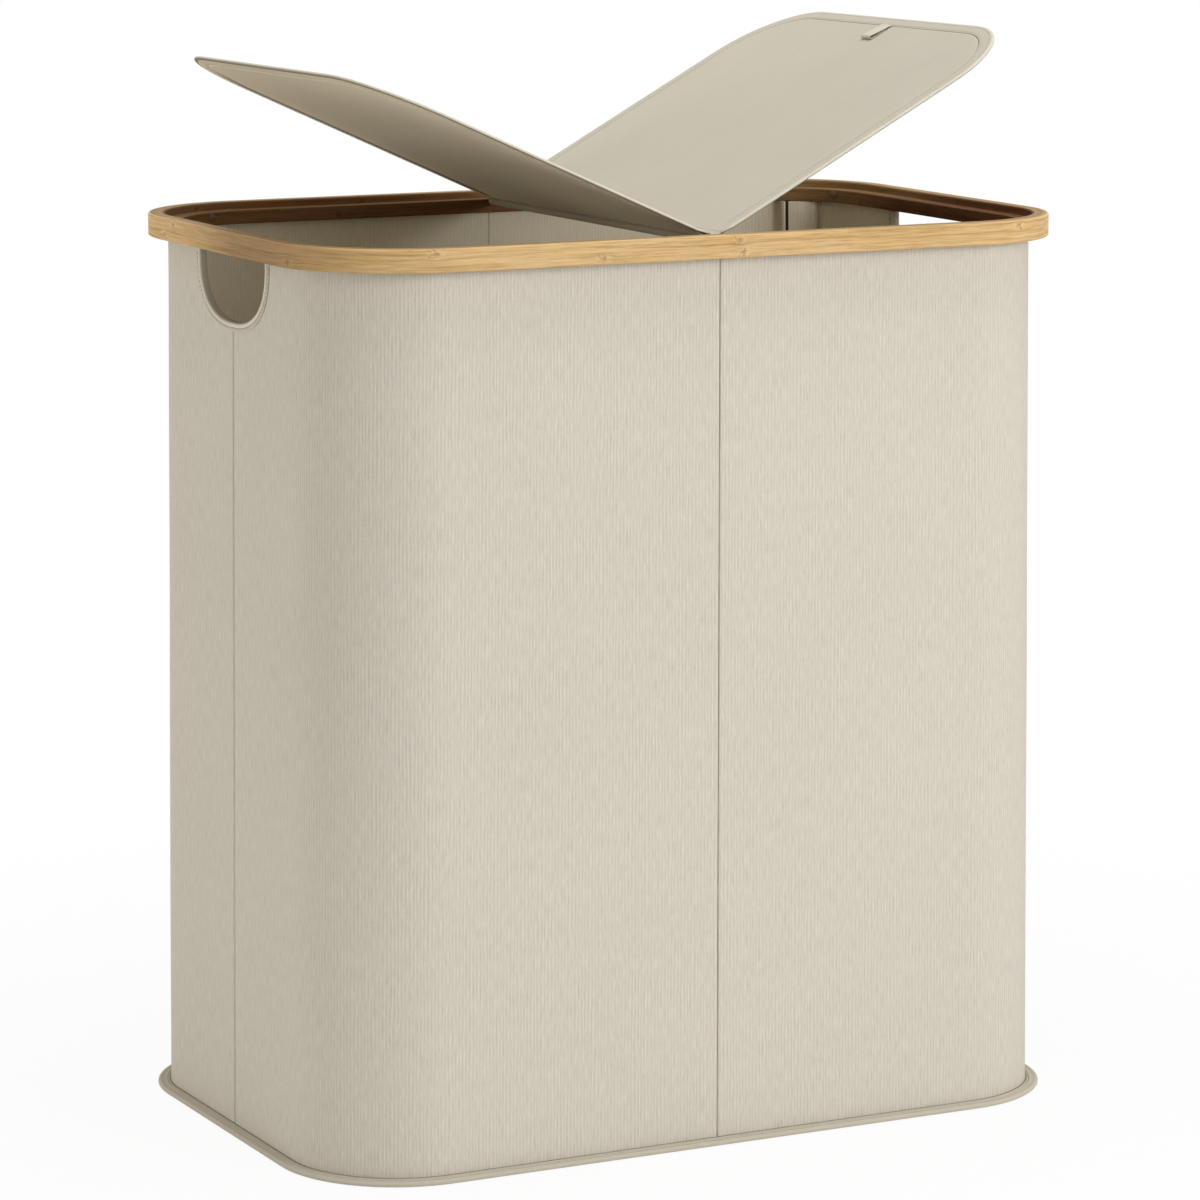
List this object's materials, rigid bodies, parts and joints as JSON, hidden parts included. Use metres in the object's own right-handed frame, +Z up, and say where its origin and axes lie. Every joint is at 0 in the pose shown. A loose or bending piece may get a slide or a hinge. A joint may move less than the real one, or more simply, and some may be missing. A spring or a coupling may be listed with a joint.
{
  "type": "laundry hamper",
  "caption": "Tall rectangular fabric laundry hamper with divided bins, a bamboo rim, cut-out end handles and board lids that fold up from the middle.",
  "frame": {"origin": "middle of the underside, on the floor", "axes": "+Z up; +X along the long side, towards the right-hand bin seen from the front; +Y from the front towards the back"},
  "size_m": [0.607, 0.404, 0.7842],
  "materials": {
    "bamboo": "satin clear-coated bamboo with fine lengthwise grain and faint nodes",
    "cover_fabric": "matt warm off-white polyester linen with a fine upright slub",
    "lining_fabric": "matt off-white lining fabric",
    "lid_fabric": "matt warm off-white fabric drawn smooth over board",
    "binding": "folded woven tape",
    "felt": "stiff non-woven felt",
    "board": "plain fibreboard",
    "steel": "dark coated steel",
    "bronze": "dull bronze-coloured screw heads"
  },
  "bodies": {
    "hamper": {"rim_outer_ring": "bamboo", "rim_inner_ring": "bamboo", "hinge_rod": "steel", "support_rod_front_left": "steel", "support_rod_back_left": "steel", "support_rod_front_right": "steel", "support_rod_back_right": "steel", "rim_screw_front_left_end": "bronze", "rim_screw_front_left_face": "bronze", "rim_screw_back_left_end": "bronze", "rim_screw_back_left_face": "bronze", "rim_screw_front_right_end": "bronze", "rim_screw_front_right_face": "bronze", "rim_screw_back_right_end": "bronze", "rim_screw_back_right_face": "bronze", "cover_front_left": "cover_fabric", "interlining_front_left": "felt", "lining_front_left": "lining_fabric", "rod_sleeve_front_left": "lining_fabric", "cover_back_left": "cover_fabric", "interlining_back_left": "felt", "lining_back_left": "lining_fabric", "rod_sleeve_back_left": "lining_fabric", "cover_front_right": "cover_fabric", "interlining_front_right": "felt", "lining_front_right": "lining_fabric", "rod_sleeve_front_right": "lining_fabric", "cover_back_right": "cover_fabric", "interlining_back_right": "felt", "lining_back_right": "lining_fabric", "rod_sleeve_back_right": "lining_fabric", "bottom_cover": "cover_fabric", "base_flange": "binding", "base_board": "board", "bottom_lining": "lining_fabric", "divider": "lining_fabric", "divider_binding": "binding", "hinge_sleeve": "lid_fabric", "handle_binding_left": "binding", "handle_binding_right": "binding"},
    "left_lid": {"left_lid_board": "board", "left_lid_cover": "lid_fabric", "left_lid_lining": "lid_fabric", "left_lid_binding": "binding", "left_lid_pull_tab": "binding"},
    "right_lid": {"right_lid_board": "board", "right_lid_cover": "lid_fabric", "right_lid_lining": "lid_fabric", "right_lid_binding": "binding", "right_lid_pull_tab": "binding"}
  },
  "joints": [
    {"name": "left_lid_hinge", "type": "hinge", "parent": "hamper", "child": "left_lid", "pos_m": [-0.0011, 0, 0.64885], "axis": [0, 1, 0], "range_deg": [-23.9, 64.1]},
    {"name": "right_lid_hinge", "type": "hinge", "parent": "hamper", "child": "right_lid", "pos_m": [0.0011, 0, 0.64885], "axis": [0, -1, 0], "range_deg": [-28.4, 59.6]}
  ]
}
